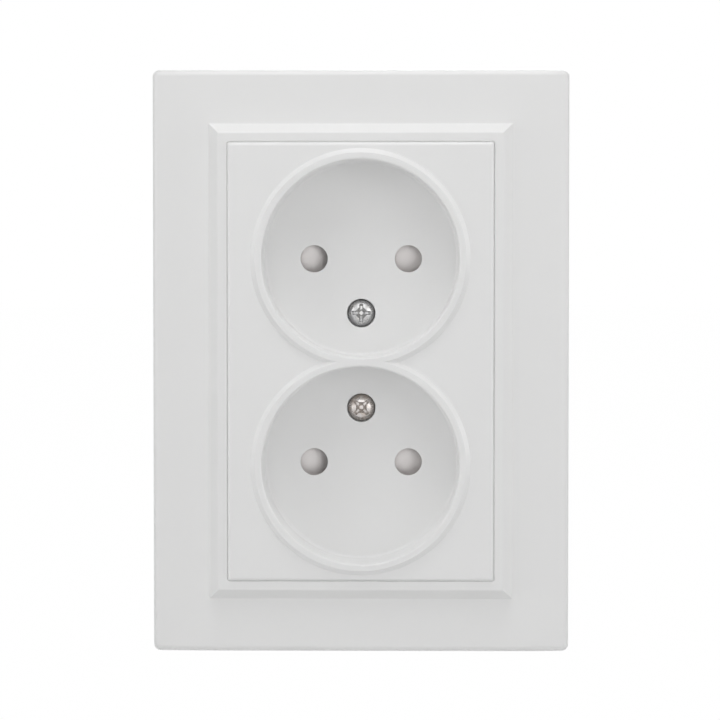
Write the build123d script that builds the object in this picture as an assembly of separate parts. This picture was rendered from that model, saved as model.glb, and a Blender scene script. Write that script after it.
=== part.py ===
from build123d import *
from math import hypot
import os

# A double wall socket on the bench: x to the right, y up the wall, z out of the wall into the room.
# z = 0 is the wall's surface. All sizes are in millimetres.

# Two sockets, and the plug that goes into them
WELL_SPACING = 41.0        # between the centres of the two wells
PIN_SPACING = 19.0         # between the two pins of a plug
PIN_HOLE_R = 2.75
WELL_R = 19.6
WELL_DEPTH = 11.0
WELL_WALL = 1.6
WELL_EDGE_R = 0.35
FLOOR_FILLET_R = 0.6
PIN_WALL = 0.9             # what is left of the floor round the pin holes

# Rim that stands up round both wells
RIM_WIDTH = 1.35
RIM_SLOPE = 0.9
RIM_RISE = 0.9

# Mounting strap
STRAP_T = 1.0
STRAP_MARGIN = 4.0         # from its edge to the frame's side wall
STRAP_CORNER_R = 7.0
BOX_SCREW_SPACING = 60.0
BOX_SLOT_R = 2.1
BOX_SLOT_LENGTH = 7.0
STRAP_WINDOW_W = 45.8
STRAP_WAIST_W = 39.4       # window between the two claws' ears
STRAP_WAIST_H = 25.0

# Insulating base
BASE_FIT = 0.4             # play of the base in the strap's window
BASE_SHOULDER = 1.4        # step that rests behind the strap, above and below
BASE_DEPTH = 19.0
BASE_FRONT_T = 2.5         # front wall with the pin passages
BASE_WALL = 1.2
BASE_END_WALL = 2.2        # above and below the contact chambers
PASSAGE_R = 3.0
PASSAGE_LEAD = 0.6         # funnel at each passage's mouth
VALLEY_H = 26.0            # wiring space across the back
POLE_RIB_T = 3.0
POLE_RIB_H = 11.0

# Face plate
PLATE_SIDE = 4.58          # from the rim's foot to the plate's side
PLATE_END = 1.18           # from the rim's foot to its upper and lower edge
PLATE_CORNER_R = 0.4
PLATE_EDGE_R = 0.7
PLATE_SKIN = 1.9
PLATE_WALL = 1.6
PLATE_FOOT_Z = 4.0         # its side walls stand on the frame's lip here
PLATE_RIB_T = 1.2
FLOOR_T = 4.0

# Outer frame
FRAME_W = 83.0
FRAME_H = 116.0
FRAME_CORNER_R = 1.3
FRAME_EDGE_R = 1.2
FRAME_WALL = 2.0
FRAME_SKIN = 1.8
FRAME_CROWN = 0.8          # drop of the flat field to the left and right edges
FRAME_RIB_T = 1.2
FRAME_GAP = 0.02           # the face plate is a close fit in the frame
PLATE_PROUD = 0.5          # face plate above the frame's border
BORDER_RISE = 2.4
BORDER_RUN = 1.9
BORDER_FLAT = 1.9
BORDER_EDGE_R = 0.4
LIP_REACH = 1.2            # inner lip that the face plate clamps
RIB_CLEAR = 0.3

# Cover screws and their nuts
COVER_SCREW_Y = 9.55
COVER_SCREW_R = 1.45
COVER_HEAD_R = 2.75
COVER_HEAD_T = 1.9
COVER_HEAD_SUNK = 0.3
COVER_SCREW_L = 12.4
SCREW_PLAY = 0.15
NUT_SIDE = 5.5
NUT_T = 1.8
NUT_CORNER_R = 0.3
NUT_PLAY = 0.1
THREAD_PLAY = 0.05         # between a screw's shaft and its tapped hole

# Cross recess of all screws, as shares of the head's radius and thickness
CROSS_LENGTH = 1.1
CROSS_WIDTH = 0.22
CROSS_DEPTH = 0.75

# Safety shutters
SHUTTER_TRAVEL = 5.6
SHUTTER_BLOCK_W = 5.8
SHUTTER_BLOCK_H = 6.2
SHUTTER_GAP = 0.2          # above and below the slider
SHUTTER_SIDE_GAP = 0.2
RAIL_W = 0.9
RAIL_T = 1.4
RAMP_R = 8.4
RAMP_SHIFT = (-2.4, 1.6)   # top of the dome, from the pin hole's centre
SPRING_R = 1.2
SPRING_WIRE_R = 0.15
SPRING_TURNS = 5
SPRING_SOLID = 2.3         # room left for the spring when the shutter is open
PEG_R = 0.7
PEG_L = 0.9

# Contact strips
STRIP_T = 0.8
STRIP_H = 7.8
STRIP_SPINE_X = 13.5
STRIP_PINCH = 4.2          # gap between the two leaves at a pin
STRIP_BOW_L = 3.6          # from the pin to the fork's closed end
STRIP_MOUTH_L = 3.8        # from the pin to the fork's open end
STRIP_GRIP = 1.0           # half the straight length at the pin
STRIP_BULGE = 1.0          # how far each leaf spreads again towards the closed end
STRIP_BEVEL = 1.2
STRIP_FLARE = 0.9          # at the fork's open end
STRIP_PLAY = 0.2
TAB_X = 5.0
TAB_H = 9.0
CHAMBER_GAP = 0.5
CHAMBER_CORNER_R = 1.6

# Wire terminals
TERMINAL_X = 9.5
TERMINAL_SCREW_R = 1.9
TERMINAL_HEAD_R = 3.5
TERMINAL_HEAD_T = 2.4
TERMINAL_SCREW_L = 5.0
CLAMP_T = 1.2
CLAMP_W = 8.0
CLAMP_CORNER = 0.8

# Rear covers
COVER_T = 1.4
COVER_FIT = 0.15
POST_SIDE = 1.4
COVER_BOLT_R = 1.1
COVER_BOLT_HEAD_R = 2.2
COVER_BOLT_HEAD_T = 1.3
COVER_BOLT_L = 7.0
COVER_BOLT_PLAY = 0.02

# Spreading claws
CLAW_Y = 7.0
CLAW_PIVOT_X = 21.0
CLAW_PIVOT_Z = -6.0
CLAW_PIN_R = 0.8
CLAW_PIN_PLAY = 0.05
KNUCKLE_R = 1.3
KNUCKLE_W = 4.4
EAR_T = 0.9
CLAW_SHEET = 1.2
CLAW_CHEEK = 0.8
CLAW_CHEEK_R = 1.8
CLAW_ARM_L = 11.0
CLAW_ARM_SLOT = 8.0        # slot that lets the arm swing past the screw's tip
CLAW_BEVEL = 0.6
CLAW_TOOTH = 1.6
CLAW_TOOTH_ROOT = 1.6
CLAW_TOOTH_TIP = 0.3
CLAW_SCREW_X = 25.0
CLAW_SCREW_R = 1.45
CLAW_HEAD_R = 2.75
CLAW_HEAD_T = 1.6
CLAW_FORK_L = 6.2
CLAW_NUT_R = 2.0
CLAW_NUT_GAP = 0.15
CLAW_SCREW_L = 12.2
CLAW_PLAY = 0.2

# Snap tabs of the strap on the base
TAB_CLIP_X = 6.5
TAB_CLIP_W = 3.0
TAB_CLIP_L = 6.5
TAB_WINDOW_W = 1.65
TAB_WINDOW_LOW = 0.75      # ends of the tab's window and of the barb in it, as shares of its length
TAB_WINDOW_HIGH = 0.42
BARB_LOW = 0.72
BARB_TIP = 0.45
BARB_W = 1.32
BARB_H = 0.9

# Levels and places that follow from the sizes above
WELL_Y = WELL_SPACING / 2
PIN_X = PIN_SPACING / 2
RIM_FOOT_R = WELL_R + RIM_WIDTH + RIM_SLOPE
PLATE_W = 2 * (RIM_FOOT_R + PLATE_SIDE)
PLATE_H = 2 * (WELL_Y + RIM_FOOT_R + PLATE_END)
STRAP_W = FRAME_W - 2 * (FRAME_WALL + STRAP_MARGIN)
CHAMBER_SIDE_X = STRIP_SPINE_X + STRIP_T / 2 + CHAMBER_GAP
CHAMBER_END_Y = WELL_Y + STRIP_BOW_L + STRIP_T / 2 + CHAMBER_GAP
BASE_H = 2 * (CHAMBER_END_Y + BASE_END_WALL)
STRAP_WINDOW_H = BASE_H - 2 * (BASE_SHOULDER - BASE_FIT)
BASE_R = BASE_WALL + CHAMBER_CORNER_R + hypot(
    CHAMBER_SIDE_X - CHAMBER_CORNER_R, CHAMBER_END_Y - CHAMBER_CORNER_R
)
FLOOR_Z = STRAP_T + FLOOR_T
RIM_Z = FLOOR_Z + WELL_DEPTH
PLATE_Z = RIM_Z - RIM_RISE
BORDER_Z = PLATE_Z - PLATE_PROUD
FIELD_Z = BORDER_Z - BORDER_RISE
OPENING_W = PLATE_W + 2 * FRAME_GAP
OPENING_H = PLATE_H + 2 * FRAME_GAP
BORDER_W = OPENING_W + 2 * BORDER_FLAT
BORDER_H = OPENING_H + 2 * BORDER_FLAT
SHUTTER_CEILING = FLOOR_Z - PIN_WALL
CHAMBER_Z = STRAP_T - BASE_FRONT_T
STRIP_FRONT = CHAMBER_Z
STRIP_REAR = STRIP_FRONT - STRIP_H
CLAMP_FRONT = STRIP_REAR
CLAMP_REAR = CLAMP_FRONT - CLAMP_T
HEAD_Z = FLOOR_Z - COVER_HEAD_SUNK - COVER_HEAD_T
FORK_REAR = CLAW_PIVOT_Z - CLAW_SHEET / 2
NUT_Z = FORK_REAR - CLAW_NUT_GAP - CLAW_NUT_R


def block(x0, x1, y0, y1, z0, z1):
    """Straight block between two corners."""
    return Pos((x0 + x1) / 2, (y0 + y1) / 2, (z0 + z1) / 2) * Box(x1 - x0, y1 - y0, z1 - z0)


def rod(x, y, z0, z1, radius):
    """Round bar along the depth."""
    return Pos(x, y, (z0 + z1) / 2) * Cylinder(radius, z1 - z0)


def prism(outline, z0, z1):
    """Flat outline in the wall's plane, given a depth."""
    return extrude(Pos(0, 0, z0) * outline, amount=z1 - z0)


def turned(part):
    """The same piece on the other side, half a turn round the depth axis."""
    return Rot(Z=180) * part


def cross_recess(x, y, z_top, head_r, depth):
    """Two crossed slots with sloping ends, for a cross-point screwdriver."""
    half = CROSS_LENGTH * head_r / 2
    width = CROSS_WIDTH * head_r
    long_top, short_top = 2 * half, width
    sections = [
        Pos(0, 0, -depth) * Rectangle(long_top / 3, short_top),
        Rectangle(long_top, short_top),
    ]
    slot = loft(sections)
    return Pos(x, y, z_top) * (slot + Rot(Z=90) * slot)


def screw(x, y, seat_z, head_r, head_t, shaft_r, shaft_l, pan_head=False):
    """Screw that points into the wall, its pan head or cheese head seated at seat_z."""
    head = rod(x, y, seat_z, seat_z + head_t, head_r)
    rim = head.edges().filter_by(GeomType.CIRCLE).sort_by(Axis.Z)[-1]
    head = fillet(rim, head_t * 0.6) if pan_head else chamfer(rim, head_t * 0.15)
    shaft = rod(x, y, seat_z - shaft_l, seat_z, shaft_r)
    tip = shaft.edges().filter_by(GeomType.CIRCLE).sort_by(Axis.Z)[0]
    shaft = chamfer(tip, shaft_r * 0.3)
    return head + shaft - cross_recess(x, y, seat_z + head_t, head_r, head_t * CROSS_DEPTH)


def crowned(width, height, top, drop, flat_w):
    """Slab from the wall's surface up to top, flat over flat_w and falling in arcs to both sides."""
    edge, flat = width / 2, flat_w / 2
    with BuildPart() as slab:
        with BuildSketch(Plane.XZ):
            with BuildLine():
                Line((-edge, 0), (-edge, top - drop))
                TangentArc((-flat, top), (-edge, top - drop), tangent=(-1, 0))
                Line((-flat, top), (flat, top))
                TangentArc((flat, top), (edge, top - drop), tangent=(1, 0))
                Line((edge, top - drop), (edge, 0))
                Line((edge, 0), (-edge, 0))
            make_face()
        extrude(amount=height / 2, both=True)
    return slab.part


def outer_frame():
    """Cover frame: a hollow moulding, its field crowned to both sides, with a stepped border."""
    foot_w, foot_h = BORDER_W + 2 * BORDER_RUN, BORDER_H + 2 * BORDER_RUN
    shell = crowned(FRAME_W, FRAME_H, FIELD_Z, FRAME_CROWN, foot_w)
    shell = fillet(shell.edges().filter_by(Axis.Z), FRAME_CORNER_R)
    side, end = FRAME_W / 2 - FRAME_CORNER_R, FRAME_H / 2 - FRAME_CORNER_R
    rim = [
        e for e in shell.edges()
        if e.center().Z > FIELD_Z - FRAME_CROWN - 0.01
        and (abs(e.center().X) > side or abs(e.center().Y) > end)
    ]
    shell = fillet(rim, FRAME_EDGE_R)
    border = loft([
        Pos(0, 0, FIELD_Z - FRAME_SKIN / 2) * Rectangle(foot_w, foot_h),
        Pos(0, 0, FIELD_Z) * Rectangle(foot_w, foot_h),
    ]) + loft([
        Pos(0, 0, FIELD_Z) * Rectangle(foot_w, foot_h),
        Pos(0, 0, BORDER_Z) * Rectangle(BORDER_W, BORDER_H),
    ])
    border = fillet(border.faces().sort_by(Axis.Z)[-1].edges(), BORDER_EDGE_R)
    shell += border

    cavity = crowned(
        FRAME_W - 2 * FRAME_WALL, FRAME_H - 2 * FRAME_WALL, FIELD_Z - FRAME_SKIN, FRAME_CROWN, foot_w
    )
    wall_x, wall_y = OPENING_W / 2 + PLATE_WALL, OPENING_H / 2 + PLATE_WALL
    cavity -= block(-wall_x, wall_x, -wall_y, wall_y, STRAP_T, FIELD_Z)
    rib_z = STRAP_T + RIB_CLEAR
    for share in (-0.32, 0.32):
        y = share * FRAME_H
        cavity -= block(-FRAME_W, FRAME_W, y - FRAME_RIB_T / 2, y + FRAME_RIB_T / 2, rib_z, FIELD_Z)
    for share in (-0.22, 0.22):
        x = share * FRAME_W
        cavity -= block(x - FRAME_RIB_T / 2, x + FRAME_RIB_T / 2, -FRAME_H, FRAME_H, rib_z, FIELD_Z)
    shell -= cavity

    lip_w, lip_h = OPENING_W / 2 - LIP_REACH, OPENING_H / 2 - LIP_REACH
    shell -= prism(RectangleRounded(OPENING_W, OPENING_H, PLATE_CORNER_R + FRAME_GAP), PLATE_FOOT_Z, BORDER_Z + 1)
    mouth = [
        e for e in shell.edges()
        if abs(e.center().Z - BORDER_Z) < 0.01
        and abs(e.center().X) < OPENING_W / 2 + 0.01 and abs(e.center().Y) < OPENING_H / 2 + 0.01
    ]
    shell = fillet(mouth, BORDER_EDGE_R)
    shell -= block(-lip_w, lip_w, -lip_h, lip_h, -1, PLATE_FOOT_Z)
    gate_y = CLAW_Y + CLAW_HEAD_R + 1
    for side in (-1, 1):
        low, high = sorted((side * (lip_w - 1), side * (wall_x + 1)))
        shell -= block(low, high, -gate_y, gate_y, -1, PLATE_FOOT_Z)
    return shell


def face_plate():
    """Centre plate with both wells, their joined rim and the thick floors that house the shutters."""
    plate = prism(RectangleRounded(PLATE_W, PLATE_H, PLATE_CORNER_R), PLATE_FOOT_Z, PLATE_Z)
    plate = fillet(plate.faces().sort_by(Axis.Z)[-1].edges(), PLATE_EDGE_R)
    in_x, in_y = PLATE_W / 2 - PLATE_WALL, PLATE_H / 2 - PLATE_WALL
    plate -= block(-in_x, in_x, -in_y, in_y, PLATE_FOOT_Z - 1, PLATE_Z - PLATE_SKIN)
    plate += block(-in_x, in_x, -PLATE_RIB_T / 2, PLATE_RIB_T / 2, PLATE_FOOT_Z, PLATE_Z - PLATE_SKIN)
    rim_r = WELL_R + RIM_WIDTH
    for y in (-WELL_Y, WELL_Y):
        plate += rod(0, y, STRAP_T, PLATE_Z, WELL_R + WELL_WALL)
    for y in (-WELL_Y, WELL_Y):
        plate += Pos(0, y, PLATE_Z + RIM_RISE / 2) * Cone(rim_r + RIM_SLOPE, rim_r, RIM_RISE)
    for y in (-WELL_Y, WELL_Y):
        well = rod(0, y, FLOOR_Z, RIM_Z + 1, WELL_R)
        plate -= fillet(well.edges().filter_by(GeomType.CIRCLE).sort_by(Axis.Z)[0], FLOOR_FILLET_R)
    mouths = [
        e for e in plate.edges().filter_by(GeomType.CIRCLE)
        if abs(e.radius - WELL_R) < 0.01 and e.center().Z > PLATE_Z
    ]
    plate = fillet(mouths, WELL_EDGE_R)

    for y in (-WELL_Y, WELL_Y):
        plate -= shutter_room(y)
        for x in (-PIN_X, PIN_X):
            plate -= rod(x, y, STRAP_T, FLOOR_Z + 1, PIN_HOLE_R)
    for y in (-COVER_SCREW_Y, COVER_SCREW_Y):
        plate -= rod(0, y, HEAD_Z, FLOOR_Z + 1, COVER_HEAD_R + SCREW_PLAY)
        plate -= rod(0, y, STRAP_T - 1, HEAD_Z, COVER_SCREW_R + SCREW_PLAY)
    return plate


def block_end():
    """Outer end of the shutter's right block, from the middle of the socket."""
    return PIN_X + SHUTTER_BLOCK_W / 2


def shutter_half():
    """Half the height of the whole slider, rails included."""
    return SHUTTER_BLOCK_H / 2 + RAIL_W


def room_left():
    """Left end of the room in which a shutter slides."""
    return -block_end() - SHUTTER_TRAVEL - SPRING_SOLID


def shutter_room(y):
    """Room behind a well's floor in which the shutter slides, with a narrower end for its spring."""
    half = shutter_half() + SHUTTER_SIDE_GAP
    bay = -block_end() - SHUTTER_TRAVEL - SHUTTER_SIDE_GAP
    end = block_end() + SHUTTER_SIDE_GAP
    room = block(bay, end, y - half, y + half, STRAP_T, SHUTTER_CEILING)
    slot = SPRING_R + SHUTTER_SIDE_GAP
    return room + block(room_left(), bay, y - slot, y + slot, STRAP_T, SHUTTER_CEILING)


def shutter(y):
    """Slider of one socket: two domed ramps joined by two rails, with a peg for the return spring."""
    z0, z1 = STRAP_T + SHUTTER_GAP, SHUTTER_CEILING - SHUTTER_GAP
    slider = None
    for x in (-PIN_X, PIN_X):
        ramp = block(
            x - SHUTTER_BLOCK_W / 2, x + SHUTTER_BLOCK_W / 2,
            y - SHUTTER_BLOCK_H / 2, y + SHUTTER_BLOCK_H / 2, z0, z1
        )
        ramp &= Pos(x + RAMP_SHIFT[0], y + RAMP_SHIFT[1], z1 - RAMP_R) * Sphere(RAMP_R)
        slider = ramp if slider is None else slider + ramp
    end, half = block_end(), SHUTTER_BLOCK_H / 2
    for side in (-1, 1):
        low, high = sorted((side * half, side * (half + RAIL_W)))
        slider += block(-end, end, y + low, y + high, z0, z0 + RAIL_T)
    peg = Pos(-end - PEG_L / 2, y, spring_z()) * Rot(Y=90) * Cylinder(PEG_R, PEG_L)
    web = block(-end, -end + RAIL_W, y - half, y + half, z0, spring_z() + PEG_R)
    return slider + web + peg


def spring_z():
    """Level of the spring's axis."""
    return STRAP_T + SHUTTER_GAP + SPRING_R


def shutter_spring(y):
    """Return spring between the slider and the end of its room."""
    length = -block_end() - room_left() - 2 * SPRING_WIRE_R
    radius = SPRING_R - SPRING_WIRE_R
    path = Helix(pitch=length / SPRING_TURNS, height=length, radius=radius)
    section = Plane(origin=path @ 0, z_dir=path % 0) * RegularPolygon(SPRING_WIRE_R, 4)
    coil = sweep(section, path=path, is_frenet=True)
    return Pos(room_left() + SPRING_WIRE_R, y, spring_z()) * Rot(Y=90) * coil


def window(play):
    """Outline of the strap's window, made smaller all round by the play."""
    outline = Rectangle(STRAP_WINDOW_W - 2 * play, STRAP_WINDOW_H - 2 * play)
    outline &= Circle(BASE_R + BASE_FIT - play)
    waist = Rectangle(STRAP_WINDOW_W, STRAP_WAIST_H + 2 * play)
    waist -= Rectangle(STRAP_WAIST_W - 2 * play, STRAP_WAIST_H + 2 * play)
    return outline - waist


def clip_pocket(x, y_side):
    """Groove in the base's edge for one snap tab."""
    y0 = STRAP_WINDOW_H / 2 - BASE_FIT
    low, high = sorted((y_side * y0, y_side * (y0 + 2 * BASE_SHOULDER)))
    half = TAB_CLIP_W / 2 + BASE_FIT
    return block(x - half, x + half, low, high, -TAB_CLIP_L - BASE_FIT, 0)


def barb(x, y_side):
    """Wedge on the base that snaps into a tab's window."""
    y0 = STRAP_WINDOW_H / 2 - BASE_FIT
    root = y0 - BASE_WALL / 2
    z_low, z_tip = -TAB_CLIP_L * BARB_LOW, -TAB_CLIP_L * BARB_TIP
    with BuildPart() as wedge:
        with BuildSketch(Plane.YZ):
            with BuildLine():
                Polyline((root, z_low), (y0, z_low), (y0 + BARB_H, z_tip), (root, z_tip), close=True)
            make_face()
        extrude(amount=BARB_W / 2, both=True)
    piece = Pos(x, 0, 0) * wedge.part
    return piece if y_side > 0 else Rot(Z=180) * Pos(-2 * x, 0, 0) * piece


def strip_line():
    """Centre line of one contact strip in plan, right-hand side."""
    leaf = STRIP_PINCH / 2 + STRIP_T / 2
    outer, inner = PIN_X + leaf, PIN_X - leaf
    bow_y, mouth_y = WELL_Y + STRIP_BOW_L, WELL_Y - STRIP_MOUTH_L
    fork = [
        (STRIP_SPINE_X, mouth_y),
        (outer, WELL_Y - STRIP_GRIP), (outer, WELL_Y + STRIP_GRIP),
        (outer + STRIP_BULGE, bow_y - STRIP_BEVEL), (outer - STRIP_BULGE, bow_y),
        (inner + STRIP_BULGE, bow_y), (inner - STRIP_BULGE, bow_y - STRIP_BEVEL),
        (inner, WELL_Y + STRIP_GRIP), (inner, WELL_Y - STRIP_GRIP),
        (inner - STRIP_FLARE, mouth_y),
    ]
    lower = [(x, -y) for x, y in reversed(fork)]
    return Polyline(*lower, *fork)


def contact_strip():
    """Right-hand contact: one bent brass strip that grips a pin in each socket, with a terminal tab."""
    line = strip_line()
    outline = offset(line, amount=STRIP_T / 2, kind=Kind.INTERSECTION, side=Side.BOTH)
    strip = prism(make_face(outline), STRIP_REAR, STRIP_FRONT)
    tab = block(TAB_X, STRIP_SPINE_X, -TAB_H / 2, TAB_H / 2, STRIP_REAR, STRIP_REAR + STRIP_T)
    tab -= rod(TERMINAL_X, 0, STRIP_REAR - 1, STRIP_FRONT, TERMINAL_SCREW_R + THREAD_PLAY)
    return strip + tab


def chamber(y_side):
    """Room in the base for one fork, right-hand side, open to the rear."""
    leaf = STRIP_PINCH / 2 + STRIP_T
    x0 = PIN_X - leaf - STRIP_BULGE - CHAMBER_GAP
    y0 = WELL_Y - STRIP_MOUTH_L - STRIP_T
    low, high = sorted((y_side * y0, y_side * CHAMBER_END_Y))
    room = block(x0, CHAMBER_SIDE_X, low, high, -BASE_DEPTH - 1, CHAMBER_Z)
    corner = [e for e in room.edges().filter_by(Axis.Z) if abs(e.center().Y) > WELL_Y and e.center().X > PIN_X]
    return fillet(corner, CHAMBER_CORNER_R)


def rear_cover_outline(inset):
    """Outline of the upper rear cover's bed: the base's own outline, moved in from its edges."""
    bed = Circle(BASE_R - inset) & Rectangle(
        STRAP_WINDOW_W - 2 * BASE_FIT - 2 * inset, BASE_H - 2 * inset
    )
    low = VALLEY_H / 2 + inset
    return bed & (Pos(0, low + BASE_R / 2) * Rectangle(2 * BASE_R, BASE_R))


def base():
    """Insulating body: carries the contacts, and clamps the strap against the face plate."""
    outline = Circle(BASE_R) & Rectangle(STRAP_WINDOW_W - 2 * BASE_FIT, BASE_H)
    body = prism(outline, -BASE_DEPTH, 0) + prism(window(BASE_FIT), 0, STRAP_T)
    side_x = CLAW_PIVOT_X - CLAW_CHEEK_R - 3 * CLAW_PLAY
    for side in (-1, 1):
        low, high = sorted((side * side_x, side * 2 * BASE_R))
        body -= block(low, high, -STRAP_WAIST_H / 2, STRAP_WAIST_H / 2, -BASE_DEPTH - 1, 0)
    valley_z = STRIP_REAR + STRIP_T
    body -= block(-BASE_R, BASE_R, -VALLEY_H / 2, VALLEY_H / 2, -BASE_DEPTH - 1, valley_z)
    body += block(-POLE_RIB_T / 2, POLE_RIB_T / 2, -POLE_RIB_H / 2, POLE_RIB_H / 2, CLAMP_REAR - 1, valley_z)

    slot_x0, slot_x1 = (STRIP_SPINE_X + s * (STRIP_T / 2 + STRIP_PLAY) for s in (-1, 1))
    half = WELL_Y
    right = block(slot_x0, slot_x1, -half, half, valley_z, STRIP_FRONT)
    right += block(slot_x0, slot_x1, -half, half, -BASE_DEPTH - 1, valley_z) & block(
        0, BASE_R, -half, half, -BASE_DEPTH + COVER_T, valley_z
    )
    funnel = Cone(PASSAGE_R, PASSAGE_R + PASSAGE_LEAD, PASSAGE_LEAD)
    for side in (-1, 1):
        right += chamber(side)
        right += rod(PIN_X, side * WELL_Y, CHAMBER_Z - 1, STRAP_T + 1, PASSAGE_R)
        right += Pos(PIN_X, side * WELL_Y, STRAP_T - PASSAGE_LEAD / 2) * funnel
    right += rod(TERMINAL_X, 0, CLAMP_FRONT, valley_z + TERMINAL_SCREW_L, TERMINAL_SCREW_R + BASE_FIT)
    body -= right
    body -= turned(right)

    nut = NUT_SIDE / 2 + NUT_PLAY
    for y in (-COVER_SCREW_Y, COVER_SCREW_Y):
        body -= rod(0, y, -BASE_DEPTH - 1, STRAP_T + 1, COVER_SCREW_R + SCREW_PLAY)
        body -= block(-nut, nut, y - nut, y + nut, valley_z, valley_z + NUT_T + NUT_PLAY)
    bed = prism(rear_cover_outline(BASE_WALL), -BASE_DEPTH - 1, -BASE_DEPTH + COVER_T)
    bolt = rod(0, WELL_Y, -BASE_DEPTH - 1, -BASE_DEPTH + COVER_T + COVER_BOLT_L, COVER_BOLT_R)
    body -= bed + bolt
    body -= turned(bed + bolt)
    for y_side in (-1, 1):
        for x in (-TAB_CLIP_X, TAB_CLIP_X):
            body -= clip_pocket(x, y_side)
            body += barb(x, y_side)
    return body


def rear_cover():
    """Upper rear cover: closes two contact chambers, and its posts hold the strips down."""
    cover = prism(rear_cover_outline(BASE_WALL + COVER_FIT), -BASE_DEPTH, -BASE_DEPTH + COVER_T)
    half = POST_SIDE / 2
    for x_side in (-1, 1):
        x = x_side * (PIN_X + STRIP_PINCH / 2 + STRIP_T / 2)
        cover += block(x - half, x + half, WELL_Y - half, WELL_Y + half, -BASE_DEPTH + COVER_T / 2, STRIP_REAR)
        x = x_side * (PIN_X - STRIP_PINCH / 2 - STRIP_T / 2)
        cover += block(x - half, x + half, WELL_Y - half, WELL_Y + half, -BASE_DEPTH + COVER_T / 2, STRIP_REAR)
    cover -= rod(0, WELL_Y, -BASE_DEPTH - 1, -BASE_DEPTH + COVER_T, COVER_BOLT_R + SCREW_PLAY)
    return cover


def rear_cover_screw():
    """Small screw of the upper rear cover, its head to the rear."""
    bolt = screw(0, 0, 0, COVER_BOLT_HEAD_R, COVER_BOLT_HEAD_T, COVER_BOLT_R - COVER_BOLT_PLAY, COVER_BOLT_L)
    return Pos(0, WELL_Y, -BASE_DEPTH) * Rot(X=180) * bolt


def cover_screw(y):
    """Screw that holds the face plate and the frame."""
    return screw(0, y, HEAD_Z, COVER_HEAD_R, COVER_HEAD_T, COVER_SCREW_R, COVER_SCREW_L, pan_head=True)


def cover_nut(y):
    """Square nut in the rear of the base."""
    z0 = STRIP_REAR + STRIP_T + NUT_PLAY
    nut = prism(Pos(0, y) * RectangleRounded(NUT_SIDE, NUT_SIDE, NUT_CORNER_R), z0, z0 + NUT_T)
    return nut - rod(0, y, z0 - 1, z0 + NUT_T + 1, COVER_SCREW_R + THREAD_PLAY)


def terminal_clamp():
    """Right-hand clamp plate that presses the wires onto the strip's tab."""
    x0, x1 = TERMINAL_X - CLAMP_W / 2, TERMINAL_X + CLAMP_W / 2
    clamp = block(x0, x1, -TAB_H / 2, TAB_H / 2, CLAMP_REAR, CLAMP_FRONT)
    clamp = chamfer(clamp.edges().filter_by(Axis.Z), CLAMP_CORNER)
    return clamp - rod(TERMINAL_X, 0, CLAMP_REAR - 1, CLAMP_FRONT + 1, TERMINAL_SCREW_R + THREAD_PLAY)


def terminal_screw():
    """Right-hand terminal screw, its head to the rear."""
    length = TERMINAL_SCREW_L + CLAMP_T
    bolt = screw(0, 0, 0, TERMINAL_HEAD_R, TERMINAL_HEAD_T, TERMINAL_SCREW_R, length)
    return Pos(TERMINAL_X, 0, CLAMP_REAR) * Rot(X=180) * bolt


def knuckle_line(radius, half):
    """Round bar across the claw's pivot, right-hand side."""
    return Pos(CLAW_PIVOT_X, -CLAW_Y, CLAW_PIVOT_Z) * Rot(X=90) * Cylinder(radius, 2 * half)


def mounting_strap():
    """Steel strap: slotted for the box screws, with ears for the claws and tabs that hold the base."""
    strap = prism(RectangleRounded(STRAP_W, STRAP_W, STRAP_CORNER_R), 0, STRAP_T)
    strap -= prism(window(0), -1, STRAP_T + 1)
    slot = SlotOverall(BOX_SLOT_LENGTH, 2 * BOX_SLOT_R)
    for side in (-1, 1):
        strap -= prism(Pos(side * BOX_SCREW_SPACING / 2, 0) * slot, -1, STRAP_T + 1)
        strap -= rod(side * CLAW_SCREW_X, -side * CLAW_Y, -1, STRAP_T + 1, CLAW_SCREW_R + CLAW_PLAY)

    x0 = CLAW_PIVOT_X - KNUCKLE_R
    y0, y1 = -CLAW_Y - KNUCKLE_W / 2, -CLAW_Y + KNUCKLE_W / 2
    ear = block(x0, x0 + EAR_T, y0, y1, CLAW_PIVOT_Z, STRAP_T)
    ear += knuckle_line(KNUCKLE_R, KNUCKLE_W / 2)
    ear -= knuckle_line(CLAW_PIN_R + CLAW_PIN_PLAY, KNUCKLE_W)
    strap += ear
    strap += turned(ear)

    y0 = STRAP_WINDOW_H / 2
    for x in (-TAB_CLIP_X, TAB_CLIP_X):
        half = TAB_CLIP_W / 2
        clip = block(x - half, x + half, y0, y0 + STRAP_T, -TAB_CLIP_L, STRAP_T)
        clip -= block(
            x - TAB_WINDOW_W / 2, x + TAB_WINDOW_W / 2, y0 - 1, y0 + STRAP_T + 1,
            -TAB_CLIP_L * TAB_WINDOW_LOW, -TAB_CLIP_L * TAB_WINDOW_HIGH
        )
        strap += clip
        strap += turned(clip)
    return strap


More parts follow.
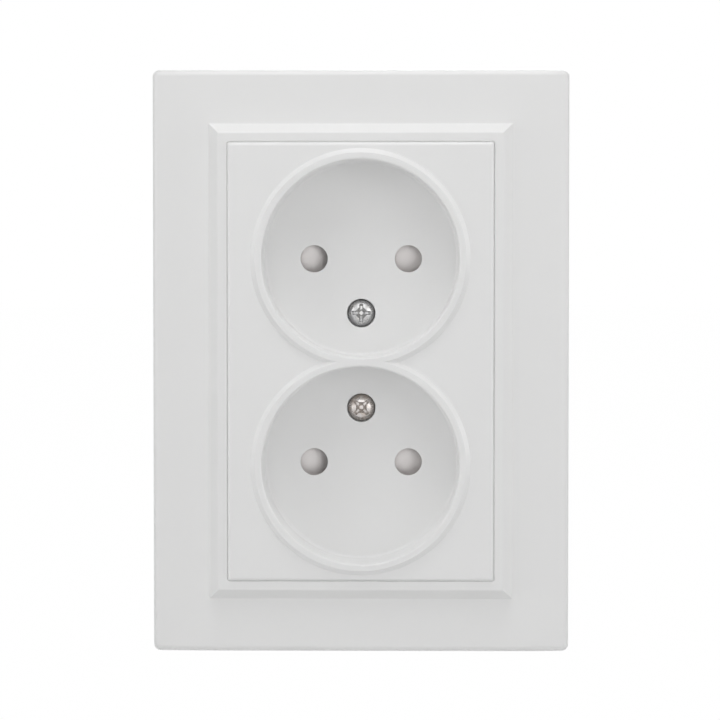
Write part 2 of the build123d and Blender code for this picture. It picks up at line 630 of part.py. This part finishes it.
def claw():
    """Right-hand claw: a stamped bell crank with a fork for the screw and a toothed arm."""
    half = KNUCKLE_W / 2 + CLAW_PLAY
    outer = half + CLAW_CHEEK
    px, pz = CLAW_PIVOT_X, CLAW_PIVOT_Z
    sheet = CLAW_SHEET / 2
    arm_z = pz - CLAW_ARM_L
    with BuildPart() as cheek:
        with BuildSketch(Plane.XZ):
            with Locations((px, pz)):
                Circle(CLAW_CHEEK_R)
            with BuildLine():
                Polyline(
                    (px - sheet, pz), (px - sheet, arm_z), (px + sheet, arm_z + CLAW_BEVEL), (px + sheet, pz),
                    close=True
                )
            make_face()
            with BuildLine():
                Polyline(
                    (px, pz - sheet), (px + CLAW_FORK_L, pz - sheet), (px + CLAW_FORK_L, pz + sheet),
                    (px, pz + CLAW_CHEEK_R), close=True
                )
            make_face()
        extrude(amount=outer, both=True)
    clear_r = KNUCKLE_R + 2 * CLAW_PLAY
    front, far_x = pz + 2 * CLAW_CHEEK_R, px + 2 * CLAW_FORK_L
    body = Pos(0, -CLAW_Y, 0) * cheek.part
    body -= knuckle_line(clear_r, half)
    body -= block(0, px + clear_r, -CLAW_Y - half, -CLAW_Y + half, pz, front)
    body -= block(px, far_x, -CLAW_Y - half, -CLAW_Y + half, pz + sheet, front)
    slot_half = CLAW_SCREW_R + CLAW_PLAY
    slot_x = CLAW_SCREW_X - CLAW_SCREW_R - CLAW_PLAY
    body -= block(slot_x, far_x, -CLAW_Y - slot_half, -CLAW_Y + slot_half, pz - CLAW_SHEET, front)
    body -= block(px - clear_r, px + clear_r, -CLAW_Y - slot_half, -CLAW_Y + slot_half, pz - CLAW_ARM_SLOT, pz)
    body -= knuckle_line(CLAW_PIN_R + CLAW_PIN_PLAY, outer + 1)

    tooth_w = 2 * outer / 3
    root_z = arm_z + CLAW_BEVEL + CLAW_TOOTH_ROOT / 2
    for step in (-1, 0, 1):
        y = -CLAW_Y + step * tooth_w
        root = Plane(origin=(px + sheet / 2, y, root_z), z_dir=(1, 0, 0))
        tip = Plane(origin=(px + sheet + CLAW_TOOTH, y, arm_z + CLAW_BEVEL + CLAW_TOOTH_TIP), z_dir=(1, 0, 0))
        sections = [
            root * Rectangle(tooth_w, CLAW_TOOTH_ROOT),
            tip * Rectangle(CLAW_TOOTH_TIP, CLAW_TOOTH_TIP),
        ]
        body += loft(sections)
    return body


def claw_pin():
    """Right-hand pivot pin, through the ear's knuckle and both cheeks of the claw."""
    return knuckle_line(CLAW_PIN_R, KNUCKLE_W / 2 + CLAW_PLAY + CLAW_CHEEK + 0.4)


def claw_screw():
    """Right-hand claw screw, its head on the strap."""
    return screw(CLAW_SCREW_X, -CLAW_Y, STRAP_T, CLAW_HEAD_R, CLAW_HEAD_T, CLAW_SCREW_R, CLAW_SCREW_L)


def claw_nut():
    """Right-hand barrel nut, across the claw's fork."""
    half = KNUCKLE_W / 2 + CLAW_PLAY + CLAW_CHEEK
    barrel = Pos(CLAW_SCREW_X, -CLAW_Y, NUT_Z) * Rot(X=90) * Cylinder(CLAW_NUT_R, 2 * half)
    return barrel - rod(
        CLAW_SCREW_X, -CLAW_Y, NUT_Z - 2 * CLAW_NUT_R, NUT_Z + 2 * CLAW_NUT_R, CLAW_SCREW_R + THREAD_PLAY
    )


pieces = {
    "outer_frame": outer_frame(),
    "face_plate": face_plate(),
    "base": base(),
    "mounting_strap": mounting_strap(),
}
for name, side in (("upper", 1), ("lower", -1)):
    pieces[f"shutter_{name}"] = shutter(side * WELL_Y)
    pieces[f"shutter_spring_{name}"] = shutter_spring(side * WELL_Y)
    pieces[f"cover_screw_{name}"] = cover_screw(side * COVER_SCREW_Y)
    pieces[f"cover_nut_{name}"] = cover_nut(side * COVER_SCREW_Y)
pieces["rear_cover_upper"] = rear_cover()
pieces["rear_cover_lower"] = turned(rear_cover())
pieces["rear_cover_screw_upper"] = rear_cover_screw()
pieces["rear_cover_screw_lower"] = turned(rear_cover_screw())
for make in (contact_strip, terminal_clamp, terminal_screw, claw, claw_pin, claw_screw, claw_nut):
    right = make()
    pieces[f"{make.__name__}_right"] = right
    pieces[f"{make.__name__}_left"] = turned(right)

# The finished socket stands on the wall: x stays, y goes up, and its face looks along -y.
os.makedirs("parts", exist_ok=True)
for name, piece in pieces.items():
    export_step(Rot(X=90) * piece, f"parts/{name}.step")
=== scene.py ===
import bpy
import numpy as np
from math import cos, pi, radians, sin
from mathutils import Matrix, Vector


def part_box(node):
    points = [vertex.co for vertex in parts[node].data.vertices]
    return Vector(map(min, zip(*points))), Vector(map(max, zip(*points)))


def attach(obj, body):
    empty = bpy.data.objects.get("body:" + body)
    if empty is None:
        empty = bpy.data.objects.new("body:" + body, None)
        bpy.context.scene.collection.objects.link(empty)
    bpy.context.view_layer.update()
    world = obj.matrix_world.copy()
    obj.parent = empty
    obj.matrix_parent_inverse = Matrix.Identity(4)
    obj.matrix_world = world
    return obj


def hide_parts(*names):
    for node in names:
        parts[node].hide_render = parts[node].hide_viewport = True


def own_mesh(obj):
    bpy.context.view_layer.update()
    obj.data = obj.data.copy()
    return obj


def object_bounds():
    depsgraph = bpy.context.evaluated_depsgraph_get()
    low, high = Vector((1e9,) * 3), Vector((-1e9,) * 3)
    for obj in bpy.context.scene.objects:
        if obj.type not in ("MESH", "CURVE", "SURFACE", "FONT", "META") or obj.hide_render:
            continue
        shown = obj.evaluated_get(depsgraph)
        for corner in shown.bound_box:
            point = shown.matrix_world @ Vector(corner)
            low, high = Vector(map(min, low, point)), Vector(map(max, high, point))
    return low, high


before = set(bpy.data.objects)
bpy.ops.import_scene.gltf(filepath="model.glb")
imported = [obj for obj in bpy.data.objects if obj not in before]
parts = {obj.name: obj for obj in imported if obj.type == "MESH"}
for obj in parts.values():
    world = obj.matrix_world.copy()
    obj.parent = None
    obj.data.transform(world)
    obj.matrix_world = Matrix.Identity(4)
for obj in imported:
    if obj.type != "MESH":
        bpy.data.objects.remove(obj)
cad_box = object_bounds()

# Mounting strap: one blank of 1 mm steel sheet, punched and bent in a follow-on die, then zinc plated in
# a barrel. The plating is bright but clouded, with fine rolling lines and a faint yellow passivation.
def finish(name, colour, roughness, metallic=0.0):
    """New material with one glossy shader. Returns the material and its shader node."""
    material = bpy.data.materials.new(name)
    material.use_nodes = True
    shader = material.node_tree.nodes["Principled BSDF"]
    shader.inputs["Base Color"].default_value = (*colour, 1.0)
    shader.inputs["Roughness"].default_value = roughness
    shader.inputs["Metallic"].default_value = metallic
    return material, shader


def clouds(material, per_metre, detail, stretch=(1, 1, 1), seed=0.0):
    """Soft noise on the piece's own coordinates, in metres, drawn out along the axes with small factors."""
    tree = material.node_tree
    place = tree.nodes.new("ShaderNodeTexCoord")
    mapping = tree.nodes.new("ShaderNodeMapping")
    mapping.inputs["Scale"].default_value = stretch
    mapping.inputs["Location"].default_value = (seed, 0.3 * seed, -seed)
    noise = tree.nodes.new("ShaderNodeTexNoise")
    noise.inputs["Scale"].default_value = per_metre
    noise.inputs["Detail"].default_value = detail
    tree.links.new(place.outputs["Object"], mapping.inputs["Vector"])
    tree.links.new(mapping.outputs["Vector"], noise.inputs["Vector"])
    return noise.outputs[0]


def spread(material, value, low, high):
    """The value's range from 0.3 to 0.7, stretched to run from low to high."""
    node = material.node_tree.nodes.new("ShaderNodeMapRange")
    for socket, number in (("From Min", 0.3), ("From Max", 0.7), ("To Min", low), ("To Max", high)):
        node.inputs[socket].default_value = number
    material.node_tree.links.new(value, node.inputs["Value"])
    return node.outputs[0]


def shades(material, value, colours):
    """Colours laid out evenly along the value, between 0.3 and 0.7 of it."""
    node = material.node_tree.nodes.new("ShaderNodeValToRGB")
    stops = node.color_ramp.elements
    while len(stops) < len(colours):
        stops.new(0.5)
    for i, colour in enumerate(colours):
        stops[i].position = 0.3 + 0.4 * i / (len(colours) - 1)
        stops[i].color = (*colour, 1.0)
    material.node_tree.links.new(value, node.inputs[0])
    return node.outputs[0]


def relief(material, value, height, under=None):
    """Bump of the given height in metres, laid over another one."""
    node = material.node_tree.nodes.new("ShaderNodeBump")
    node.inputs["Distance"].default_value = height
    material.node_tree.links.new(value, node.inputs["Height"])
    if under is not None:
        material.node_tree.links.new(under, node.inputs["Normal"])
    return node.outputs[0]


def dress(names, material):
    """Gives the CAD nodes of these names a material."""
    for name in names:
        for slot in parts[name].material_slots:
            slot.material = material


zinc_sheet, shader = finish("zinc_sheet", (0.62, 0.62, 0.62), 0.38, 1.0)
links = zinc_sheet.node_tree.links
cloud = clouds(zinc_sheet, 260, 4)
rolled = clouds(zinc_sheet, 2600, 2, (0.04, 1, 1), 1.7)
tone = shades(zinc_sheet, cloud, [(0.57, 0.57, 0.58), (0.62, 0.62, 0.61), (0.65, 0.64, 0.60)])
links.new(tone, shader.inputs["Base Color"])
links.new(spread(zinc_sheet, rolled, 0.26, 0.48), shader.inputs["Roughness"])
dull = relief(zinc_sheet, cloud, 0.000012)
links.new(relief(zinc_sheet, rolled, 0.000002, dull), shader.inputs["Normal"])
dress(["mounting_strap"], zinc_sheet)

# Insulating base and its two rear covers: grey glass-filled thermoset, pressed in one mould each. The skin
# is dull and speckled by the fibres, with faint flow lines that run out from the middle.
fibre_grey, shader = finish("fibre_grey", (0.40, 0.40, 0.39), 0.62)
links = fibre_grey.node_tree.links
speckle = clouds(fibre_grey, 2300, 5)
flow = clouds(fibre_grey, 90, 4, (0.35, 1, 1), 4.1)
tone = shades(fibre_grey, speckle, [(0.30, 0.30, 0.29), (0.38, 0.38, 0.37), (0.45, 0.45, 0.43)])
links.new(tone, shader.inputs["Base Color"])
links.new(spread(fibre_grey, flow, 0.48, 0.68), shader.inputs["Roughness"])
links.new(relief(fibre_grey, speckle, 0.00001, relief(fibre_grey, flow, 0.00005)), shader.inputs["Normal"])
dress(["base", "rear_cover_upper", "rear_cover_lower"], fibre_grey)

# Contact strips: hard-rolled brass strip, 0.8 mm thick, cut and folded into a fork at both ends. The fresh
# metal shows along the rolled faces, and handling has left brown clouds.
brass, shader = finish("rolled_brass", (0.74, 0.55, 0.26), 0.28, 1.0)
links = brass.node_tree.links
tarnish = clouds(brass, 420, 5, seed=2.2)
drawn = clouds(brass, 3000, 2, (0.05, 1, 0.05), 0.6)
tone = shades(brass, tarnish, [(0.52, 0.34, 0.15), (0.72, 0.52, 0.24), (0.80, 0.62, 0.32)])
links.new(tone, shader.inputs["Base Color"])
links.new(spread(brass, tarnish, 0.42, 0.22), shader.inputs["Roughness"])
links.new(relief(brass, drawn, 0.000002), shader.inputs["Normal"])
dress(["contact_strip_left", "contact_strip_right"], brass)

# Terminal clamps, claws and their nuts and pins: stamped or turned steel, tumbled to take the burrs off and
# zinc plated. The plating is pitted all over, and rubbed brighter in patches.
tumbled_zinc, shader = finish("tumbled_zinc", (0.60, 0.60, 0.60), 0.42, 1.0)
links = tumbled_zinc.node_tree.links
pits = clouds(tumbled_zinc, 1500, 4, seed=3.3)
worn = clouds(tumbled_zinc, 300, 3, seed=5.1)
tone = shades(tumbled_zinc, worn, [(0.47, 0.48, 0.50), (0.60, 0.60, 0.60), (0.68, 0.67, 0.62)])
links.new(tone, shader.inputs["Base Color"])
links.new(spread(tumbled_zinc, worn, 0.50, 0.30), shader.inputs["Roughness"])
links.new(relief(tumbled_zinc, pits, 0.00001), shader.inputs["Normal"])
for side in ("left", "right"):
    dress([f"{kind}_{side}" for kind in ("terminal_clamp", "claw", "claw_nut", "claw_pin")], tumbled_zinc)
dress(["cover_nut_upper", "cover_nut_lower"], tumbled_zinc)

# Screws: cold-headed steel wire with rolled threads, zinc plated. The cover screws have pan heads, the rest
# flat cheese heads, all with a cross recess struck into them.
def solid_piece(name, rings, first, last, material):
    """Closed piece from rings of points (ring, round, 3), with its ends drawn in to the points first and
    last. Its faces are turned outwards by the sign of the volume that they enclose."""
    count, around = rings.shape[:2]
    points = np.concatenate([rings.reshape(-1, 3), [first, last]])
    i, j = np.meshgrid(np.arange(count - 1), np.arange(around), indexing="ij")
    k = (j + 1) % around
    quads = np.stack([i * around + j, i * around + k, (i + 1) * around + k, (i + 1) * around + j], -1)
    quads = quads.reshape(-1, 4)
    j = np.arange(around)
    k, end, low = (j + 1) % around, count * around, (count - 1) * around
    fans = np.concatenate([
        np.stack([k, j, np.full(around, end)], -1),
        np.stack([low + j, low + k, np.full(around, end + 1)], -1),
    ])
    halves = np.concatenate([quads[:, :3], quads[:, [0, 2, 3]], fans])
    a, b, c = (points[halves[:, n]] for n in range(3))
    if (a * np.cross(b, c)).sum() < 0:
        quads, fans = quads[:, ::-1], fans[:, ::-1]
    mesh = bpy.data.meshes.new(name)
    mesh.vertices.add(len(points))
    mesh.vertices.foreach_set("co", points.ravel())
    mesh.loops.add(quads.size + fans.size)
    mesh.loops.foreach_set("vertex_index", np.concatenate([quads.ravel(), fans.ravel()]).astype(np.int32))
    mesh.polygons.add(len(quads) + len(fans))
    starts = np.concatenate([np.arange(len(quads)) * 4, quads.size + np.arange(len(fans)) * 3])
    mesh.polygons.foreach_set("loop_start", starts.astype(np.int32))
    mesh.update(calc_edges=True)
    mesh.shade_smooth()
    mesh.materials.append(material)
    piece = bpy.data.objects.new(name, mesh)
    bpy.context.scene.collection.objects.link(piece)
    return piece


def screw_rings(head_r, head_t, shaft_r, shaft_l, pitch, dome, turn, around):
    """Screw along z with its head's seat at z = 0, in millimetres, as rings (ring, round, 3).

    The head's height over radius r is a superellipse, side + (head_t - side) * (1 - (r / head_r)^p)^(1/p),
    with p = dome, high for a cheese head. The cross is cut into it as a depth field. For each of two crossed
    arms the depth is the lesser of (half length - distance along) * steep and (half width - distance across)
    * steeper. A four-sided pit, (0.56 head_r - |across| - |along|) * 1.5, lies over their middle, and the
    deepest counts. The thread's radius is shaft_r less a rounded triangle of the phase z / pitch - angle /
    full turn, which fades out under the head and at the pointed end."""
    angle = np.linspace(0, 2 * pi, around, endpoint=False)[None, :]
    share = np.linspace(0, 1, 61)[1:, None] ** 0.8
    side = 0.2 * head_t
    top = side + (head_t - side) * (1 - share ** dome) ** (1 / dome)
    radius = np.broadcast_to(share * head_r, (60, around))
    across, along = radius * np.cos(angle - turn), radius * np.sin(angle - turn)
    depth = 0
    for u, v in ((across, along), (along, across)):
        arm = np.minimum((0.7 * head_r - np.abs(u)) * 2.2, (0.13 * head_r - np.abs(v)) * 9)
        depth = np.maximum(depth, arm)
    depth = np.minimum(depth, 0.6 * head_t)
    pit = np.clip((0.56 * head_r - np.abs(across) - np.abs(along)) * 1.5, 0, 0.8 * head_t)
    head = np.stack([radius * np.cos(angle), radius * np.sin(angle), top - np.maximum(depth, pit)], -1)

    rim = np.array([(head_r, 0.08), (head_r - 0.08, 0.0), (shaft_r + 0.1, 0.0), (shaft_r, -0.05)])
    level = np.linspace(-0.1, -shaft_l, int(shaft_l / pitch * 8))[:, None]
    phase = (level / pitch - angle / (2 * pi)) % 1
    groove = np.clip(1.15 - np.abs(2 * phase - 1) * 1.3, 0, 1)
    fade = np.clip(-level / pitch, 0, 1) * np.clip((shaft_l + level) / pitch, 0, 1)
    point = np.clip(1 - 0.35 * (1 - (shaft_l + level) / (0.35 * shaft_r)), 0.65, 1)
    thread = (shaft_r - 0.55 * pitch * groove * fade) * point
    r = np.concatenate([np.broadcast_to(rim[:, :1], (4, around)), thread])
    z = np.concatenate([np.broadcast_to(rim[:, 1:], (4, around)), np.broadcast_to(level, thread.shape)])
    shaft = np.stack([r * np.cos(angle), r * np.sin(angle), z], -1)
    return np.concatenate([head, shaft])


def set_in_place(rings, x, z, depth, outwards):
    """Bench millimetres to the wall's metres. The screw's head looks out of the wall (1) or into it (-1)."""
    out = rings * (1, outwards, outwards)
    return np.stack([x + out[..., 0], -(depth + out[..., 2]), z + out[..., 1]], -1) * 0.001


def screw_piece(name, place, size, turn, outwards, dome, around, material):
    """Screw that replaces the node of its name. The place of its head's seat is x, up, out of the wall."""
    rings = screw_rings(*size, dome, turn, around)
    head_bottom = rings[0].mean(0) * (0, 0, 1)
    tip = np.array([0, 0, -size[3]])
    points = [set_in_place(points, *place, outwards) for points in (rings, head_bottom, tip)]
    piece = solid_piece(f"{name}_piece", *points, material)
    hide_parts(name)
    return piece


def screw_zinc(name, colours, seed):
    """Bright zinc on a headed screw: clouded plating, with fine turning rings left by the heading tool."""
    material, shader = finish(name, colours[1], 0.28, 1.0)
    links = material.node_tree.links
    haze = clouds(material, 900, 4, seed=seed)
    marks = clouds(material, 5200, 2, (1, 0.2, 1), seed + 2)
    links.new(shades(material, haze, colours), shader.inputs["Base Color"])
    links.new(spread(material, haze, 0.36, 0.2), shader.inputs["Roughness"])
    links.new(relief(material, marks, 0.000002, relief(material, haze, 0.000006)), shader.inputs["Normal"])
    return material


# Head radius, head height, shaft radius, length and pitch of each kind, and its seats, in millimetres
TERMINAL_SIZE = (3.5, 2.4, 1.9, 6.2, 0.7)
TERMINAL_X, TERMINAL_SEAT = 9.5, -10.5
CLAW_SIZE = (2.75, 1.6, 1.45, 12.2, 0.5)
CLAW_X, CLAW_Y, CLAW_SEAT = 25, 7, 1
REAR_SIZE = (2.2, 1.3, 1.08, 7.0, 0.8)
REAR_Y, REAR_SEAT = 20.5, -19
COVER_SIZE = (2.75, 1.9, 1.45, 12.4, 0.5)
COVER_Y, COVER_SEAT = 9.55, 2.8
CHEESE, PAN = 7, 2.3                       # the heads' powers
COARSE, FINE = 96, 144                     # points in a ring
INTO_ROOM, INTO_BOX = 1, -1

bright_zinc = screw_zinc("bright_zinc", [(0.42, 0.42, 0.43), (0.52, 0.52, 0.52), (0.57, 0.56, 0.54)], 1.0)
warm_zinc = screw_zinc("warm_zinc", [(0.49, 0.43, 0.39), (0.55, 0.52, 0.50), (0.60, 0.58, 0.57)], 6.0)
for side, s in (("right", 1), ("left", -1)):
    seat = (TERMINAL_X * s, 0, TERMINAL_SEAT)
    screw = screw_piece(
        f"terminal_screw_{side}", seat, TERMINAL_SIZE, 0.5 * s, INTO_BOX, CHEESE, COARSE, bright_zinc
    )
    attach(screw, f"terminal_screw_{side}")
    seat = (CLAW_X * s, -CLAW_Y * s, CLAW_SEAT)
    screw = screw_piece(
        f"claw_screw_{side}", seat, CLAW_SIZE, 0.9 * s, INTO_ROOM, CHEESE, COARSE, bright_zinc
    )
    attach(screw, f"claw_screw_{side}")
for level, s, turn, plating in (("upper", 1, 0.0, bright_zinc), ("lower", -1, radians(45), warm_zinc)):
    seat = (0, REAR_Y * s, REAR_SEAT)
    screw = screw_piece(
        f"rear_cover_screw_{level}", seat, REAR_SIZE, 0.3, INTO_BOX, CHEESE, COARSE, bright_zinc
    )
    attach(screw, "root")
    seat = (0, COVER_Y * s, COVER_SEAT)
    screw = screw_piece(f"cover_screw_{level}", seat, COVER_SIZE, turn, INTO_ROOM, PAN, FINE, plating)
    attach(screw, "root")

# Safety shutters: sliders moulded in warm white acetal, one behind each pair of pin holes, where they look
# grey in the shade. A plug's two pins land on the domed ramps together and push the slider aside.
acetal, shader = finish("warm_white_acetal", (0.965, 0.93, 0.917), 0.42)
links = acetal.node_tree.links
skin = clouds(acetal, 1400, 4, seed=7.0)
tone = shades(acetal, clouds(acetal, 160, 3, seed=8.0), [(0.955, 0.915, 0.9), (0.975, 0.94, 0.927)])
links.new(tone, shader.inputs["Base Color"])
links.new(spread(acetal, skin, 0.34, 0.46), shader.inputs["Roughness"])
links.new(relief(acetal, skin, 0.000004), shader.inputs["Normal"])
dress(["shutter_upper", "shutter_lower"], acetal)

# Return springs: 0.3 mm music wire, cold coiled, with closed ends. Each lies in the left end of its
# shutter's room, and is squeezed to under a third of its length when the pins push the shutter aside.
spring_wire, shader = finish("spring_wire", (0.56, 0.56, 0.57), 0.3, 1.0)
links = spring_wire.node_tree.links
oil = clouds(spring_wire, 1100, 3, seed=9.0)
links.new(shades(spring_wire, oil, [(0.42, 0.42, 0.44), (0.58, 0.58, 0.58)]), shader.inputs["Base Color"])
links.new(spread(spring_wire, oil, 0.22, 0.38), shader.inputs["Roughness"])


def spring_rings(start, end, coil_r, wire_r, turns, steps=44, around=12):
    """Coil along x as rings of wire (ring, round, 3), and its two end points, in millimetres.

    The axis runs x = start + wire_r + (end - start - 2 wire_r) * lead(t), where lead(t) starts and ends
    nearly level (3 t^2 - 2 t^3 mixed with t), so the end turns close up. Each ring is a circle of wire_r
    across the tangent, spanned by the outward radius and by the tangent crossed with it."""
    t = np.linspace(0, 1, int(turns * steps))[:, None]
    lead = 0.35 * t + 0.65 * (3 * t ** 2 - 2 * t ** 3)
    a = 2 * pi * turns * t
    length = end - start - 2 * wire_r
    line = np.concatenate([start + wire_r + length * lead, coil_r * np.cos(a), coil_r * np.sin(a)], 1)
    tangent = np.gradient(line, axis=0)
    tangent /= np.linalg.norm(tangent, axis=1, keepdims=True)
    outward = np.concatenate([0 * a, np.cos(a), np.sin(a)], 1)
    outward -= (outward * tangent).sum(1, keepdims=True) * tangent
    outward /= np.linalg.norm(outward, axis=1, keepdims=True)
    third = np.cross(tangent, outward)
    b = np.linspace(0, 2 * pi, around, endpoint=False)[None, :, None]
    rings = line[:, None] + wire_r * (np.cos(b) * outward[:, None] + np.sin(b) * third[:, None])
    return rings, line[0], line[-1]


COIL_R, WIRE_R, TURNS = 1.05, 0.15, 6      # millimetres, and full turns
for level in ("upper", "lower"):
    low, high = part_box(f"shutter_spring_{level}")
    middle = np.array([0, (low.y + high.y) / 2, (low.z + high.z) / 2]) * 1000
    rings, first, last = spring_rings(low.x * 1000, high.x * 1000, COIL_R, WIRE_R, TURNS)
    rings, first, last = ((points + middle) * 0.001 for points in (rings, first, last))
    coil = solid_piece(f"spring_{level}", rings, first, last, spring_wire)
    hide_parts(f"shutter_spring_{level}")
    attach(coil, "root")
    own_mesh(coil)

# Face plate and cover frame: white acrylic-blend mouldings with polished faces. The faces sink a hair's
# breadth over the ribs behind them, the skin has a faint mould grain, and it is wiped clean but not new.
def white_moulding(name, colour, seed):
    """Polished white plastic: broad sinks, a fine grain, and wiping marks that dull it here and there."""
    material, shader = finish(name, colour, 0.3)
    links = material.node_tree.links
    sinks = clouds(material, 45, 1, seed=seed)
    grain = clouds(material, 4200, 3, seed=seed + 1)
    wiped = clouds(material, 120, 2, seed=seed + 2)
    dark = tuple(0.992 * c for c in colour)
    tone = shades(material, clouds(material, 60, 2, seed=seed + 3), [dark, colour])
    links.new(tone, shader.inputs["Base Color"])
    links.new(spread(material, wiped, 0.29, 0.33), shader.inputs["Roughness"])
    links.new(relief(material, grain, 0.000001, relief(material, sinks, 0.00003)), shader.inputs["Normal"])
    return material


dress(["face_plate"], white_moulding("plate_white", (0.92, 0.92, 0.917), 11.0))
dress(["outer_frame"], white_moulding("frame_white", (0.915, 0.915, 0.911), 17.0))

# The studio: a wide white floor well below the socket, large soft boxes above, in front and at both sides,
# and a white surround. The camera stands half a metre away, a little above the socket and to its right.
PHOTO_SIDE = 720                 # pixels
RIM_DISTANCE = 0.530             # from the camera to the front rim of the wells
PIXELS_PER_METRE = 5057.0        # at that rim
SENSOR = 0.036
VIEW_UP = radians(1.97)
VIEW_RIGHT = radians(0.84)
AIM_RIGHT, AIM_UP = -0.00009, 0.00046     # the picture's middle, from the socket's own
aim = Vector((AIM_RIGHT, cad_box[0].y, AIM_UP))

camera = bpy.data.objects.new("camera", bpy.data.cameras.new("camera"))
bpy.context.scene.collection.objects.link(camera)
camera.data.sensor_width = SENSOR * 1000
camera.data.lens = PIXELS_PER_METRE * RIM_DISTANCE / PHOTO_SIDE * SENSOR * 1000
back = Vector((sin(VIEW_RIGHT), -cos(VIEW_RIGHT) * cos(VIEW_UP), sin(VIEW_UP)))
camera.location = aim + back.normalized() * RIM_DISTANCE
camera.rotation_mode = "QUATERNION"
camera.rotation_quaternion = (-back).to_track_quat("-Z", "Y")
camera.data.clip_start, camera.data.clip_end = 0.01, 20
bpy.context.scene.camera = camera
bpy.context.scene.view_settings.view_transform = "Standard"


def seen_white(tree, lit, share):
    """Mixes a lit surface with plain white where the camera, a reflection or a clear piece looks at it."""
    path = tree.nodes.new("ShaderNodeLightPath")
    white = tree.nodes.new("ShaderNodeBackground" if share == 1 else "ShaderNodeEmission")
    white.inputs["Color"].default_value = (1, 1, 1, 1)
    seen = path.outputs["Is Camera Ray"]
    for ray in ("Is Glossy Ray", "Is Transmission Ray"):
        more = tree.nodes.new("ShaderNodeMath")
        more.operation = "MAXIMUM"
        tree.links.new(seen, more.inputs[0])
        tree.links.new(path.outputs[ray], more.inputs[1])
        seen = more.outputs[0]
    part = tree.nodes.new("ShaderNodeMath")
    part.operation = "MULTIPLY"
    part.inputs[1].default_value = share
    tree.links.new(seen, part.inputs[0])
    mix = tree.nodes.new("ShaderNodeMixShader")
    tree.links.new(part.outputs[0], mix.inputs[0])
    tree.links.new(lit, mix.inputs[1])
    tree.links.new(white.outputs[0], mix.inputs[2])
    return mix.outputs[0]


FLOOR_BELOW = 0.12
FLOOR_REACH = 9.0
mesh = bpy.data.meshes.new("floor")
corners = [(FLOOR_REACH * x, FLOOR_REACH * y, -FLOOR_BELOW) for x, y in ((-1, -1), (1, -1), (1, 1), (-1, 1))]
mesh.from_pydata(corners, [], [(0, 1, 2, 3)])
floor_white, shader = finish("floor_white", (0.86, 0.86, 0.86), 0.9)
tree = floor_white.node_tree
tree.links.new(seen_white(tree, shader.outputs[0], 0.997), tree.nodes["Material Output"].inputs["Surface"])
mesh.materials.append(floor_white)
floor = bpy.data.objects.new("floor", mesh)
bpy.context.scene.collection.objects.link(floor)

world = bpy.data.worlds.new("surround")
bpy.context.scene.world = world
world.use_nodes = True
tree = world.node_tree
tree.nodes.clear()
soft = tree.nodes.new("ShaderNodeBackground")
soft.inputs["Color"].default_value = (1, 1, 1, 1)
soft.inputs["Strength"].default_value = 0.02
out = tree.nodes.new("ShaderNodeOutputWorld")
tree.links.new(seen_white(tree, soft.outputs[0], 1), out.inputs["Surface"])


def soft_box(name, place, size, power):
    """Square lamp at a place, turned to the socket."""
    lamp = bpy.data.objects.new(name, bpy.data.lights.new(name, "AREA"))
    lamp.data.size = size
    lamp.data.energy = power
    lamp.location = place
    lamp.rotation_mode = "QUATERNION"
    lamp.rotation_quaternion = (-Vector(place)).to_track_quat("-Z", "Y")
    bpy.context.scene.collection.objects.link(lamp)


soft_box("lamp_front", (0, -1.5, 0.15), 0.8, 1.25)
soft_box("lamp_front_high", (0, -0.62, 0.46), 0.4, 0.63)
soft_box("lamp_above", (0, -0.3, 0.62), 0.35, 1.3)
soft_box("lamp_overhead", (0, -0.11, 0.7), 0.35, 0.7)
soft_box("lamp_front_left", (-0.96, -1.15, 0.15), 0.8, 1.2)
soft_box("lamp_left", (-1.3, -0.75, 0.15), 0.8, 3.5)
soft_box("lamp_far_left", (-1.48, -0.26, 0.15), 0.8, 2.3)
soft_box("lamp_front_right", (0.96, -1.15, 0.15), 0.8, 3.3)
soft_box("lamp_far_right", (1.48, -0.26, 0.15), 0.8, 4.5)
soft_box("lamp_behind", (0.3, 1.1, 0.7), 0.8, 6.0)
